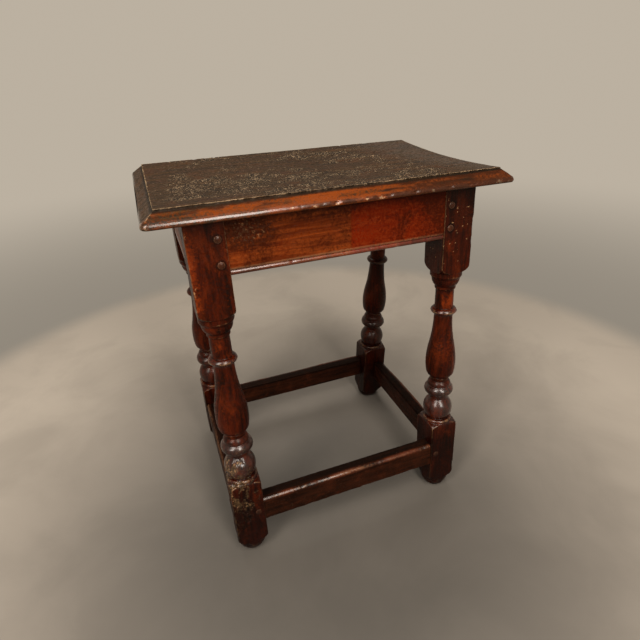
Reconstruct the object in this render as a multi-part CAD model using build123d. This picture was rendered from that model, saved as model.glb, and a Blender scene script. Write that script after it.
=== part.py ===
"""Joint stool: four turned and splayed legs, joined by frieze rails and stretchers, under a moulded board.

Millimetres, +Z up. The origin is on the floor under the middle of the stool. +X runs along the long side, and
-Y is the front. The front frame and the rear frame are each made flat, as two legs with their rail and their
stretcher, and lean in towards each other by the splay. Upright end rails and end stretchers join them.
Every joint is a mortise and tenon with oak pegs, and pegs hold the board down too.
"""
import os
from math import cos, degrees, hypot, radians, sin, tan

from build123d import *

# Whole stool
height = 550.0  # floor to the rim of the board
frame_length = 386.0  # over the legs, along X
frame_width = 322.0  # over the leg faces at the floor, along Y
splay = 4.4  # lean of the front and rear frames, degrees

# Board
end_overhang = 42.0  # board past the legs, along X
side_overhang = 26.0  # board past the tops of the legs, along Y
board_thickness = 18.0
mould_width = 16.0  # edge moulding, from its step to the nosing
mould_step = 2.0  # drop from the board's face to the moulding
nosing_height = 2.5  # widest point of the edge, above the underside
nosing_tuck = 1.0  # how far the underside's edge is set in from the nosing
nosing_radius = 4.5  # tight turn from the nosing to the thumb above it
nosing_turn = 50.0  # how far round that turn goes, degrees
dish = 5.5  # hollow of the worn board across its width

# Legs, along their own axis
leg_square = 47.0
foot_height = 33.0
foot_radius = 13.0  # flat that meets the floor
foot_waist_radius = 24.0
foot_waist_height = 21.0
foot_bow = 2.0
lower_block = 100.0
upper_block = 115.5

# Turned part of the leg, from the upper block down; the vase's top takes what length is left
upper_pommel = 12.5  # rounded corners under the upper block
upper_pommel_bow = 2.5
band_height = 7.0
band_radius = 23.2
bowl_chamfer = 4.5
bowl_height = 12.0
bowl_radius = 20.6
fillet_height = 4.5
fillet_radius = 15.4
neck_height = 31.5
neck_top_radius = 13.5
neck_radius = 14.0
ring_height = 9.5
ring_radius = 19.8
vase_foot_height = 3.0
vase_foot_radius = 14.2
vase_bead_height = 4.0
vase_bead_bow = 1.2
vase_hip_height = 8.0  # heights on the vase are from the top of its bead
vase_hip_radius = 21.6
vase_hip_bow = 1.3
vase_belly_height = 27.0
vase_radius = 23.4
vase_shoulder_height = 57.0
vase_shoulder_radius = 19.9
cushion_height = 10.0  # half round on top of the bobbin
cushion_radius = 18.2
cushion_bow = 1.6
bobbin_height = 16.5
bobbin_crown = 8.0  # from the bobbin's top to its widest point
bobbin_top_radius = 18.7
bobbin_radius = 23.4
bobbin_line = 0.5  # height of the line cut between the bobbin and its cushion
waist_height = 8.5
waist_radius = 14.0
ball_height = 36.5
ball_radius = 23.4
ball_crown = 19.0  # from the ball's top to its widest point
ball_foot_radius = 17.5
collar_height = 5.5
collar_radius = 23.2
collar_top_radius = 21.3
collar_swell = 0.6
lower_pommel = 7.5  # rounded corners over the lower block
lower_pommel_bow = 1.8

# Frieze rails
rail_height = 75.0
rail_thickness = 22.0
rail_inset = 1.5  # rail face behind the leg face
bead_height = 7.0  # round bead along the rail's lower edge
quirk_depth = 1.6  # groove over the bead
quirk_height = 1.4  # slope from the groove back to the rail's face

# Stretchers
stretcher_height = 41.0
stretcher_thickness = 21.0
stretcher_inset = 2.0
stretcher_rise = 60.0  # floor to the stretchers
stretcher_wear = 4.0  # rounded upper outer edge

# Mortise and tenon joints
tenon_thickness = 8.0
tenon_setback = 9.0  # leg face to the tenon's outer cheek
tenon_length = 27.0
rail_tenon_low = 6.0  # rail's lower edge to its tenon
rail_tenon_high = 12.0  # rail's upper edge to its tenon
stretcher_tenon_margin = 4.0  # stretcher's edges to its tenon
mortise_gap = 0.1  # round the tenon's cheeks and edges
mortise_end_gap = 1.0

# Pegs, shaved to a taper with eight sides and driven into round holes
peg_sides = 8
peg_radius = 4.5
peg_tip_radius = 3.6
peg_crown_radius = 3.0
peg_length = 28.0
peg_proud = 0.8  # crown of the head, over the leg face
peg_gap = 0.1
peg_from_shoulder = 10.0
rail_peg_heights = (29.0, 60.0)  # below the board
board_peg_radius = 4.0
board_peg_tip_radius = 3.2
board_peg_length = 50.0
board_peg_spread = 250.0  # between the pegs of one rail, along X
board_peg_sink = 0.5  # peg's top under the board's face

# Worked out
under_board = height - board_thickness
lean = radians(splay)
leg_run = under_board / cos(lean)
half_square = leg_square / 2
leg_x = frame_length / 2 - half_square
foot_y = frame_width / 2 - half_square / cos(lean)
rail_span = frame_length - 2 * leg_square
board_length = frame_length + 2 * end_overhang
board_width = frame_width - 2 * under_board * tan(lean) + 2 * side_overhang
overcut = 2 * leg_square  # how far stock and cutters run past what they cut
sides = {"left": -1, "right": 1}
frames = {"front": -1, "rear": 1}


def face_y(z, side):
    """Y of a frame's outer face at height z."""
    return side * (frame_width / 2 - z * tan(lean))


def inner_face_y(z, side):
    """Y of a frame's inner face at height z."""
    return face_y(z, side) - side * leg_square / cos(lean)


def in_frame(shape, side):
    """Stand a shape drawn for the front frame's own plane in the front (-1) or the rear (+1) frame."""
    front = Pos(0, -foot_y, 0) * Rot(-splay, 0, 0) * shape
    return front if side < 0 else mirror(front, about=Plane.XZ)


def box(x_range, y_range, z_range):
    """Box between two limits on each axis."""
    size = [high - low for low, high in (x_range, y_range, z_range)]
    low = (x_range[0], y_range[0], z_range[0])
    return Pos(*low) * Box(*size, align=(Align.MIN, Align.MIN, Align.MIN))


def between_floor_and_board(shape):
    """Cut a leaning piece level at the floor and under the board."""
    room = box((-board_length, board_length), (-board_length, board_length), (0, under_board))
    return shape & room


# ---------------------------------------------------------------- board
def board_edge(half_width, top):
    """Right half of the board's section, from its underside to its face, as edges in a plane."""
    nosing = (half_width, under_board + nosing_height)
    foot = (half_width - nosing_tuck, under_board)
    turn = radians(nosing_turn)
    thumb = (half_width - nosing_radius * (1 - cos(turn)), nosing[1] + nosing_radius * sin(turn))
    step = half_width - mould_width
    moulding_z = height - mould_step
    return [
        Edge.make_line((0, under_board), foot),
        TangentArc(nosing, foot, tangent=(0, -1)),
        TangentArc(nosing, thumb, tangent=(0, 1)),
        TangentArc(thumb, (step, moulding_z), tangent=(-sin(turn), cos(turn))),
        Edge.make_line((step, moulding_z), (step, top)),
        Edge.make_line((step, top), (0, top)),
    ]


def board_section(half_width, top):
    """Whole section of the board, as a face in the XY plane with Y as its height."""
    axis = Edge.make_line((0, top), (0, under_board))
    half = make_face(Wire([*board_edge(half_width, top), axis]))
    return half + mirror(half, about=Plane.YZ)


def make_top_board():
    """Board with a thumb moulding on four edges, mitred at the corners, and a hollow worn along it.

    The section along X is swung about a high line parallel to X, so that the end mouldings follow the hollow.
    """
    half_field = board_width / 2 - mould_width
    swing = (half_field**2 + dish**2) / (2 * dish)
    long_section = board_section(board_length / 2, height)
    deep = Pos(0, under_board - dish) * Rectangle(
        board_length - 2 * nosing_tuck, 2 * dish, align=(Align.CENTER, Align.MIN)
    )
    lowered = Plane.XZ * Pos(0, -dish) * (long_section + deep)
    axis = Axis((0, 0, height - dish + swing), (1, 0, 0))
    half_angle = degrees(board_width / swing)
    swung = revolve(lowered.rotate(axis, -half_angle), axis, 2 * half_angle)
    cross_section = Plane.YZ * board_section(board_width / 2, height + dish)
    board = swung & extrude(cross_section, board_length, both=True)
    for hole in board_peg_holes():
        board -= hole
    return board


# ---------------------------------------------------------------- joints
rail_low = under_board - rail_height
frame_rail_tenon_z = (leg_run - rail_height + rail_tenon_low, leg_run - rail_tenon_high)
end_rail_tenon_z = (rail_low + rail_tenon_low, under_board - rail_tenon_high)
stretcher_tenon_z = (
    stretcher_rise + stretcher_tenon_margin,
    stretcher_rise + stretcher_height - stretcher_tenon_margin,
)


def frame_tenon(z_range, side, gap=0.0, end_gap=0.0):
    """Tenon of a frieze rail or stretcher in its frame's plane, grown by the gaps."""
    shoulder = side * (rail_span / 2 - gap)
    end = side * (rail_span / 2 + tenon_length + end_gap)
    outer = tenon_setback - half_square
    y_range = (outer - gap, outer + tenon_thickness + gap)
    return box(sorted((shoulder, end)), y_range, (z_range[0] - gap, z_range[1] + gap))


def end_piece(x_range, z_range, reach):
    """Upright slab between the frames, whose ends follow the splay and run past the inner faces by reach."""
    low, high = z_range
    points = [
        (inner_face_y(low, -1) - reach, low),
        (inner_face_y(low, 1) + reach, low),
        (inner_face_y(high, 1) + reach, high),
        (inner_face_y(high, -1) - reach, high),
    ]
    face = Plane.YZ * make_face(Polyline(*points, close=True))
    return Pos(x_range[0], 0, 0) * extrude(face, x_range[1] - x_range[0])


def end_tenons(z_range, side, gap=0.0, end_gap=0.0):
    """Both tenons of an end rail or end stretcher, grown by the gaps."""
    outer = side * (frame_length / 2 - tenon_setback)
    inner = outer - side * tenon_thickness
    x_range = (min(outer, inner) - gap, max(outer, inner) + gap)
    return end_piece(x_range, (z_range[0] - gap, z_range[1] + gap), tenon_length + end_gap)


# ---------------------------------------------------------------- pegs
rail_peg_z = [under_board - drop for drop in rail_peg_heights]
frame_rail_peg_z = [leg_run - drop for drop in rail_peg_heights]
stretcher_peg_z = [stretcher_rise + stretcher_height / 2]


def shaved_peg(radius, tip_radius, length):
    """Tapered peg from its head at z=0 down to its tip, with flat sides."""
    head = RegularPolygon(radius, peg_sides)
    tip = Pos(0, 0, -length) * RegularPolygon(tip_radius, peg_sides)
    return loft([tip, head], ruled=True)


def make_peg():
    """Peg driven along +Y from a leg face at y=0, with the crown of its head proud of that face."""
    head = RegularPolygon(peg_radius, peg_sides)
    crown = Pos(0, 0, peg_proud) * RegularPolygon(peg_crown_radius, peg_sides)
    peg = shaved_peg(peg_radius, peg_tip_radius, peg_length) + loft([head, crown], ruled=True)
    return Rot(90, 0, 0) * peg


def make_peg_hole():
    """Cutter for the hole that a peg is driven into."""
    depth = peg_length + peg_gap
    hole = Pos(0, 0, -depth) * Cylinder(
        peg_radius + peg_gap, depth + overcut, align=(Align.CENTER, Align.CENTER, Align.MIN)
    )
    return Rot(90, 0, 0) * hole


def in_frame_joints(shape, heights, side):
    """A peg or a hole at every tenon of a rail or stretcher in the front or rear frame."""
    x = rail_span / 2 + peg_from_shoulder
    return [
        in_frame(Pos(end * x, -half_square, z) * shape, side) for end in sides.values() for z in heights
    ]


def in_end_joints(shape, heights, side):
    """A peg or a hole at every tenon of a rail or stretcher at the left or the right end."""
    placed = []
    for end in frames.values():
        for z in heights:
            y = inner_face_y(z, end) + end * peg_from_shoulder
            placed.append(Pos(side * frame_length / 2, y, z) * Rot(0, 0, side * 90) * shape)
    return placed


def in_board_joints(shape):
    """A peg or a hole over each long frieze rail, its top just under the hollow of the board."""
    y = abs(face_y(under_board, 1)) - rail_inset - rail_thickness / 2
    half_field = board_width / 2 - mould_width
    top = height - dish * (1 - (y / half_field) ** 2) - board_peg_sink
    x = board_peg_spread / 2
    return [Pos(end * x, frame * y, top) * shape for end in sides.values() for frame in frames.values()]


def board_peg_holes():
    """Cutters through the board and into the long frieze rails."""
    depth = board_peg_length + peg_gap
    hole = Pos(0, 0, -depth) * Cylinder(
        board_peg_radius + peg_gap, depth + board_thickness, align=(Align.CENTER, Align.CENTER, Align.MIN)
    )
    return in_board_joints(hole)


# ---------------------------------------------------------------- legs
def leg_outline():
    """Half outline of the leg's turning, radius across and height up, run past the floor and the board."""
    past = leg_square  # wider than the stock's corners, so that it stays square there
    corner = half_square * 2**0.5
    blocks_meet = foot_height + lower_block
    block_top = leg_run - upper_block
    end = leg_run + leg_square
    edges = []
    pen = (0.0, -foot_height)

    def add(edge, point):
        nonlocal pen
        edges.append(edge)
        pen = point

    def line(*points):
        for point in points:
            add(Edge.make_line(pen, point), point)

    def bowed(point, bow):
        """Arc whose middle stands out from its chord by bow."""
        across, up = point[0] - pen[0], point[1] - pen[1]
        span = hypot(across, up)
        middle = ((pen[0] + point[0]) / 2 + bow * up / span, (pen[1] + point[1]) / 2 - bow * across / span)
        add(ThreePointArc(pen, middle, point), point)

    def rise_to(point):
        """Arc that runs straight up where it ends."""
        add(TangentArc(point, pen, tangent=(0, -1)), point)

    def rise_from(point):
        """Arc that runs straight up where it starts."""
        add(TangentArc(pen, point, tangent=(0, 1)), point)

    # foot and lower block
    line((foot_radius, -foot_height), (foot_radius, 0))
    rise_to((foot_waist_radius, foot_waist_height))
    bowed((corner, foot_height), foot_bow)
    line((past, foot_height), (past, blocks_meet), (corner, blocks_meet))
    # pommel and collar
    z = blocks_meet + lower_pommel
    bowed((collar_radius, z), lower_pommel_bow)
    swell = (collar_radius + collar_swell, z + collar_height / 2)
    z += collar_height
    add(Spline(pen, swell, (collar_top_radius, z)), (collar_top_radius, z))
    line((ball_foot_radius, z))
    # ball and waist
    rise_to((ball_radius, z + ball_height - ball_crown))
    z += ball_height
    rise_from((waist_radius, z))
    z += waist_height
    line((waist_radius, z))
    # bobbin and its cushion
    z += bobbin_height
    rise_to((bobbin_radius, z - bobbin_crown))
    rise_from((bobbin_top_radius, z))
    line((cushion_radius, z + bobbin_line))
    z += cushion_height
    bowed((vase_foot_radius, z), cushion_bow)
    z += vase_foot_height
    line((vase_foot_radius, z))
    z += vase_bead_height
    bowed((vase_foot_radius, z), vase_bead_bow)
    # vase
    bowed((vase_hip_radius, z + vase_hip_height), vase_hip_bow)
    rise_to((vase_radius, z + vase_belly_height))
    rise_from((vase_shoulder_radius, z + vase_shoulder_height))
    bowl_foot = block_top - upper_pommel - band_height - bowl_chamfer - bowl_height
    neck_top = bowl_foot - fillet_height
    vase_top = neck_top - neck_height - ring_height
    rise_to((neck_radius, vase_top))
    # ring and neck
    z = vase_top + ring_height
    crest = (ring_radius, vase_top + ring_height / 2)
    add(Spline(pen, crest, (neck_radius, z), tangents=((1, 0), (-1, 0))), (neck_radius, z))
    line((neck_top_radius, neck_top - 1), (fillet_radius, neck_top), (fillet_radius, bowl_foot))
    # bowl, band and pommel
    rise_to((bowl_radius, bowl_foot + bowl_height))
    band_foot = bowl_foot + bowl_height + bowl_chamfer
    line((band_radius, band_foot), (band_radius, band_foot + band_height))
    bowed((corner, block_top), upper_pommel_bow)
    line((past, block_top), (past, end), (0, end), (0, -foot_height))
    return Wire(edges)


def make_plain_leg():
    """Leg without its mortises, in the front frame's plane."""
    turning = revolve(make_face(Plane.XZ * leg_outline()), Axis.Z)
    square = (-half_square, half_square)
    return box(square, square, (-foot_height, leg_run + leg_square)) & turning


def make_leg(plain_leg, side, frame):
    """One leg in its place, with mortises and peg holes."""
    leg = between_floor_and_board(in_frame(Pos(side * leg_x, 0, 0) * plain_leg, frame))
    for z_range in (frame_rail_tenon_z, stretcher_tenon_z):
        leg -= in_frame(frame_tenon(z_range, side, mortise_gap, mortise_end_gap), frame)
    for z_range in (end_rail_tenon_z, stretcher_tenon_z):
        leg -= end_tenons(z_range, side, mortise_gap, mortise_end_gap)
    hole = make_peg_hole()
    for cutter in in_frame_joints(hole, frame_rail_peg_z + stretcher_peg_z, frame):
        leg -= cutter
    for cutter in in_end_joints(hole, rail_peg_z + stretcher_peg_z, side):
        leg -= cutter
    return leg


# ---------------------------------------------------------------- rails and stretchers
def rail_section(rail_top):
    """Section of a frieze rail as a face in the YZ plane, with its outer face at y=0 and its foot at z=0."""
    radius = bead_height / 2
    groove_z = radius + (radius**2 - (radius - quirk_depth) ** 2) ** 0.5
    bead = ThreePointArc((radius, 0), (0, radius), (quirk_depth, groove_z))
    rest = Polyline(
        (quirk_depth, groove_z),
        (0, groove_z + quirk_height),
        (0, rail_top),
        (rail_thickness, rail_top),
        (rail_thickness, 0),
        (radius, 0),
    )
    return Plane.YZ * make_face(Wire([bead, *rest.edges()]))


def make_frame_rail(frame):
    """Front or rear frieze rail with its two tenons, cut level under the board."""
    section = rail_section(rail_height + rail_thickness)
    stock = extrude(section, rail_span / 2, both=True)
    rail = Pos(0, rail_inset - half_square, leg_run - rail_height) * stock
    for side in sides.values():
        rail += frame_tenon(frame_rail_tenon_z, side)
    rail = between_floor_and_board(in_frame(rail, frame))
    for hole in in_frame_joints(make_peg_hole(), frame_rail_peg_z, frame) + board_peg_holes():
        rail -= hole
    return rail


def make_end_rail(side):
    """Left or right frieze rail, upright, with shoulders cut to the splay."""
    stock = Rot(0, 0, -90) * extrude(rail_section(rail_height), frame_width, both=True)
    if side > 0:
        stock = mirror(stock, about=Plane.YZ)
    stock = Pos(side * (frame_length / 2 - rail_inset), 0, rail_low) * stock
    between = end_piece((-frame_length, frame_length), (rail_low, under_board), 0)
    rail = (stock & between) + end_tenons(end_rail_tenon_z, side)
    for hole in in_end_joints(make_peg_hole(), rail_peg_z, side):
        rail -= hole
    return rail


def worn_stock(length):
    """Stretcher stock along X, outer face at y=0, foot at z=0, with its upper outer edge worn round."""
    stock = box((-length / 2, length / 2), (0, stretcher_thickness), (0, stretcher_height))
    edge = stock.edges().filter_by(Axis.X).sort_by(Axis.Z)[-2:].sort_by(Axis.Y)[0]
    return fillet(edge, stretcher_wear)


def make_frame_stretcher(frame):
    """Front or rear stretcher with its two tenons."""
    stretcher = Pos(0, stretcher_inset - half_square, stretcher_rise) * worn_stock(rail_span)
    for side in sides.values():
        stretcher += frame_tenon(stretcher_tenon_z, side)
    stretcher = in_frame(stretcher, frame)
    for hole in in_frame_joints(make_peg_hole(), stretcher_peg_z, frame):
        stretcher -= hole
    return stretcher


def make_end_stretcher(side):
    """Left or right stretcher, upright, with shoulders cut to the splay."""
    stock = Rot(0, 0, -90) * worn_stock(2 * frame_width)
    if side > 0:
        stock = mirror(stock, about=Plane.YZ)
    stock = Pos(side * (frame_length / 2 - stretcher_inset), 0, stretcher_rise) * stock
    z_range = (stretcher_rise, stretcher_rise + stretcher_height)
    between = end_piece((-frame_length, frame_length), z_range, 0)
    stretcher = (stock & between) + end_tenons(stretcher_tenon_z, side)
    for hole in in_end_joints(make_peg_hole(), stretcher_peg_z, side):
        stretcher -= hole
    return stretcher


# ---------------------------------------------------------------- the pieces
def build():
    """Every node's name with its shape."""
    board_peg = shaved_peg(board_peg_radius, board_peg_tip_radius, board_peg_length)
    pieces = {"top_board": make_top_board(), "board_pegs": Compound(in_board_joints(board_peg))}
    plain_leg = make_plain_leg()
    for frame_name, frame in frames.items():
        for side_name, side in sides.items():
            pieces[f"{frame_name}_{side_name}_leg"] = make_leg(plain_leg, side, frame)
    peg = make_peg()
    for name, frame in frames.items():
        pieces[f"{name}_frieze_rail"] = make_frame_rail(frame)
        pieces[f"{name}_stretcher"] = make_frame_stretcher(frame)
        pieces[f"{name}_frieze_rail_pegs"] = Compound(in_frame_joints(peg, frame_rail_peg_z, frame))
        pieces[f"{name}_stretcher_pegs"] = Compound(in_frame_joints(peg, stretcher_peg_z, frame))
    for name, side in sides.items():
        pieces[f"{name}_frieze_rail"] = make_end_rail(side)
        pieces[f"{name}_stretcher"] = make_end_stretcher(side)
        pieces[f"{name}_frieze_rail_pegs"] = Compound(in_end_joints(peg, rail_peg_z, side))
        pieces[f"{name}_stretcher_pegs"] = Compound(in_end_joints(peg, stretcher_peg_z, side))
    return pieces


os.makedirs("parts", exist_ok=True)
for node, shape in build().items():
    export_step(shape, f"parts/{node}.step")
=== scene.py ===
# %% [markdown]
# # A joint stool in old oak
# The stool is an oblong board on four turned legs. Frieze rails join the legs under the board, stretchers
# join them near the floor, and oak pegs lock every joint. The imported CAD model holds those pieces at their
# true size. This lesson keeps each piece where the CAD has it, and works out its surface again with the
# rounding, the chips and the grimy wax of a few hundred years of use.

import bpy
import numpy as np
from mathutils import Matrix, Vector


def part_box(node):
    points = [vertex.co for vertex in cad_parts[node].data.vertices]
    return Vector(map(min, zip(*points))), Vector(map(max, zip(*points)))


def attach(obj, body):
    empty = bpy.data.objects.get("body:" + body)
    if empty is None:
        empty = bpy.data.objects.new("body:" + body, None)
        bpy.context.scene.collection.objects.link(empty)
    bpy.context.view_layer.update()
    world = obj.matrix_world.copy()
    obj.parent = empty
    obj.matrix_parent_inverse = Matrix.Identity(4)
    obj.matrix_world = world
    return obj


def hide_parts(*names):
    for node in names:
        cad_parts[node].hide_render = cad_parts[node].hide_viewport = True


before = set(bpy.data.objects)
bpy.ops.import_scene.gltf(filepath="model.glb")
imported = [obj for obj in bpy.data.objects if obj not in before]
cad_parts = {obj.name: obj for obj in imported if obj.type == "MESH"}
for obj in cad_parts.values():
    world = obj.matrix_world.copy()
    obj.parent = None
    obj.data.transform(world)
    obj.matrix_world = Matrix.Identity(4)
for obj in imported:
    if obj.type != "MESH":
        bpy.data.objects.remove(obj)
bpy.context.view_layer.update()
print("nodes in the frame:", len(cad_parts))

# %% [markdown]
# ## Camera
# A camera in Blender looks along its own -Z axis, with +Y up. Its turn is easiest to build from three unit
# vectors: right, up and back. Yaw turns the view to the left, pitch tips it down, and roll leans the horizon.

# %% Camera
MM = 0.001
FRAME_PIXELS = 640
FOCAL_PIXELS = 467.78
SENSOR_MM = 36.0
CAMERA_PLACE = np.array([-222.56, -637.30, 683.05])
YAW, PITCH, ROLL = np.radians([-19.92, -29.49, -1.82])


def camera_axes(yaw, pitch, roll):
    """Right, up and forward vectors. Forward is (-sin yaw cos pitch, cos yaw cos pitch, sin pitch), right is
    level, and roll turns right and up about forward."""
    forward = np.array([-np.sin(yaw) * np.cos(pitch), np.cos(yaw) * np.cos(pitch), np.sin(pitch)])
    level = np.array([np.cos(yaw), np.sin(yaw), 0.0])
    upright = np.cross(level, forward)
    right = level * np.cos(roll) + upright * np.sin(roll)
    up = upright * np.cos(roll) - level * np.sin(roll)
    return right, up, forward


def matrix_of(right, up, back, place):
    """Matrix whose columns are an object's three axes and its place."""
    matrix = np.eye(4)
    matrix[:3] = np.stack([right, up, back, place], axis=1)
    return Matrix(matrix.tolist())


def add_object(name, data):
    """Object at the origin, in the scene."""
    made = bpy.data.objects.new(name, data)
    bpy.context.scene.collection.objects.link(made)
    return made


def add_camera():
    """Camera whose lens has the focal length in pixels over the frame's pixels, times the sensor."""
    right, up, forward = camera_axes(YAW, PITCH, ROLL)
    data = bpy.data.cameras.new("camera")
    data.sensor_width = SENSOR_MM
    data.lens = FOCAL_PIXELS / FRAME_PIXELS * SENSOR_MM
    camera = add_object("camera", data)
    camera.matrix_world = matrix_of(right, up, -forward, CAMERA_PLACE * MM)
    bpy.context.scene.camera = camera
    print("lens in mm:", round(data.lens, 2))


add_camera()

# %% [markdown]
# ## Random relief that is the same every time
# Old oak is never flat: it has hollows, dents, pits and raised grain. They could be sculpted by hand, or
# painted as a picture. Here they are a formula: a random number sits at each whole-number corner of space,
# and a smooth step blends the eight numbers round a point. Added up at several sizes it looks like wear, and
# it needs no file.

# %% Noise
HASH_STEPS = np.array([73856093, 19349663, 83492791])
HASH_SEED = 2654435761
HASH_MIX = 1274126177
HASH_TOP = 0xFFFF
OCTAVE_SHIFT = 31.7


def lattice(points, seed):
    """Smooth random field in -1 to 1: corner values blended along each axis by 3t^2 - 2t^3."""
    cell = np.floor(points).astype(np.int64)
    part = points - cell
    ease = part * part * (3.0 - 2.0 * part)
    total = np.zeros(points.shape[:-1])
    for corner in np.ndindex(2, 2, 2):
        key = ((cell + corner) * HASH_STEPS).sum(axis=-1) + seed * HASH_SEED
        key = (key ^ (key >> 15)) * HASH_MIX
        key = key ^ (key >> 13)
        value = (key & HASH_TOP) / (HASH_TOP / 2) - 1.0
        total += value * np.where(corner, ease, 1.0 - ease).prod(axis=-1)
    return total


def noise(points, size, seed, octaves=2):
    """Sum of lattices; each is twice as fine and half as strong. Size is the largest feature in mm."""
    total = np.zeros(points.shape[:-1])
    for octave in range(octaves):
        spot = points / size * 2.0**octave + OCTAVE_SHIFT * octave
        total += lattice(spot, seed + octave) * 0.5**octave
    return total


def ramp(low, high, value):
    """0 below low, 1 above high and a smooth step between."""
    part = np.clip((value - low) / (high - low), 0.0, 1.0)
    return part * part * (3.0 - 2.0 * part)


sample = noise(np.random.default_rng(1).uniform(0, 900, (4000, 3)), 10.0, 3)
print("noise spread:", round(float(sample.std()), 2))

# %% [markdown]
# ## Meshes from arrays
# Every piece but the board is a closed tube: a ring of points is carried along the piece, and a flat cap
# closes each end. foreach_set copies whole arrays into the mesh, which is much faster than adding points one
# by one. The volume inside a closed mesh is positive when its faces point outwards, so faces that enclose a
# negative volume are turned round.

# %% Mesh helpers
LITRES = 1e-6


def tube_faces(rows, columns):
    """Quads that join each ring of columns to the next ring, and the first and last rings as caps."""
    ring = np.arange(columns)
    start = np.arange(rows - 1)[:, None] * columns
    low = start + ring
    low_next = start + (ring + 1) % columns
    quads = np.stack([low, low_next, low_next + columns, low + columns], axis=-1).reshape(-1, 4)
    return quads, [ring[::-1], (rows - 1) * columns + ring]


def volume(points, quads, caps):
    """Sum of the signed tetrahedra between the origin and each triangle, in litres when points are in mm."""
    triangles = [quads[:, [0, 1, 2]], quads[:, [0, 2, 3]]]
    for cap in caps:
        triangles.append(np.stack([np.full(len(cap) - 2, cap[0]), cap[1:-1], cap[2:]], axis=1))
    a, b, c = np.moveaxis(points[np.concatenate(triangles)], 1, 0)
    return float((a * np.cross(b, c)).sum() / 6 * LITRES)


def tube_normals(points):
    """Unit normals of a ring-by-ring grid: the cross product of its steps round and along."""
    around = np.roll(points, -1, axis=1) - np.roll(points, 1, axis=1)
    along = np.gradient(points, axis=0)
    normals = np.cross(around, along)
    return normals / np.maximum(np.linalg.norm(normals, axis=-1, keepdims=True), 1e-9)


def add_mesh(name, points, quads, caps):
    """Mesh object with smooth quads and flat caps, from points in mm. Faces are turned round if they would
    enclose a negative volume."""
    inside = volume(points, quads, caps)
    if inside < 0:
        quads = quads[:, ::-1]
        caps = [cap[::-1] for cap in caps]
    sizes = np.array([4] * len(quads) + [len(cap) for cap in caps])
    mesh = bpy.data.meshes.new(name)
    mesh.vertices.add(len(points))
    mesh.vertices.foreach_set("co", (points * MM).ravel())
    mesh.loops.add(int(sizes.sum()))
    mesh.loops.foreach_set("vertex_index", np.concatenate([quads.ravel(), *caps]).astype(np.int32))
    mesh.polygons.add(len(sizes))
    mesh.polygons.foreach_set("loop_start", (np.cumsum(sizes) - sizes).astype(np.int32))
    mesh.polygons.foreach_set("use_smooth", np.arange(len(sizes)) < len(quads))
    mesh.update(calc_edges=True)
    print(f"{name}: {len(points)} points, {abs(inside):.3f} litres")
    return add_object(name, mesh)


# %% [markdown]
# ## Where a hand has rubbed, where dirt has stayed and where shade is painted
# Wax and dirt gather in hollows, and edges are rubbed bright. Both follow from one measure: how far a point
# stands out over the average of the points round it. It is stored in the mesh as an attribute named relief.
# Five more attributes, from 0 to 1, hold what no formula of the shape can know: where dirt has stayed and
# where shade is painted dark, where the wax is warm and clear, where it has its gloss, where it has crawled
# into a crust of small islands, and where the wood is bare and glints are painted pale.

# %% Attributes
RELIEF_ROUNDS = 10
RELIEF_MM = 0.6
RELIEF_LIMIT = 1.5
PAINTS = ("dirt_and_shade", "warm", "gloss", "crust", "bare_and_glints")


def standing_out(mesh):
    """Height of each point over its surroundings along the normal: the point less the average of its
    neighbours, after many rounds of averaging."""
    count = len(mesh.vertices)
    ends = np.empty(len(mesh.edges) * 2, np.int32)
    mesh.edges.foreach_get("vertices", ends)
    ends = ends.reshape(-1, 2)
    here = np.concatenate([ends[:, 0], ends[:, 1]])
    there = np.concatenate([ends[:, 1], ends[:, 0]])
    neighbours = np.maximum(np.bincount(here, minlength=count), 1)
    points = np.empty(count * 3)
    mesh.vertices.foreach_get("co", points)
    points = points.reshape(-1, 3) / MM
    normals = np.empty(count * 3)
    mesh.vertices.foreach_get("normal", normals)
    smooth = points.copy()
    for _ in range(RELIEF_ROUNDS):
        smooth = np.stack([np.bincount(here, smooth[there, axis], count) for axis in range(3)], axis=1)
        smooth /= neighbours[:, None]
    return ((points - smooth) * normals.reshape(-1, 3)).sum(axis=1)


def store(piece, name, values):
    """Float attribute on the piece's points."""
    layer = piece.data.attributes.new(name, "FLOAT", "POINT")
    layer.data.foreach_set("value", np.asarray(values, dtype=np.float32).ravel())


def finish_piece(piece, node, slot, material, **paint):
    """Store relief and the painted attributes, give the piece its finish, and let it stand for the CAD
    node."""
    count = len(piece.data.vertices)
    relief = standing_out(piece.data)
    print("  relief in mm at 5, 50 and 95 percent:", np.round(np.percentile(relief, [5, 50, 95]), 2))
    store(piece, "relief", np.clip(relief / RELIEF_MM, -RELIEF_LIMIT, RELIEF_LIMIT))
    for name in PAINTS:
        values = np.asarray(paint.get(name, 0.0), float).ravel()
        store(piece, name, np.clip(np.broadcast_to(values, count), 0, 1))
    piece.data.materials.append(material)
    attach(piece, "root")
    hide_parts(node)


def finish_tube(node, grid, slot, material, paint):
    """Piece from a ring-by-ring grid of points and its two caps."""
    quads, caps = tube_faces(*grid.shape[:2])
    piece = add_mesh(node + "_wood", grid.reshape(-1, 3), quads, caps)
    finish_piece(piece, node, slot, material, **paint)


print("attributes of each piece:", "relief", *PAINTS)

# %% [markdown]
# ## The stool's own sizes
# These are the driving sizes of the CAD model, in millimetres. The board's outline and the heights are read
# from the frame. The front frame, which is two legs with their rail and stretcher, is drawn upright and flat,
# and then leans back by the splay. The rear frame is its mirror image.

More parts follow.
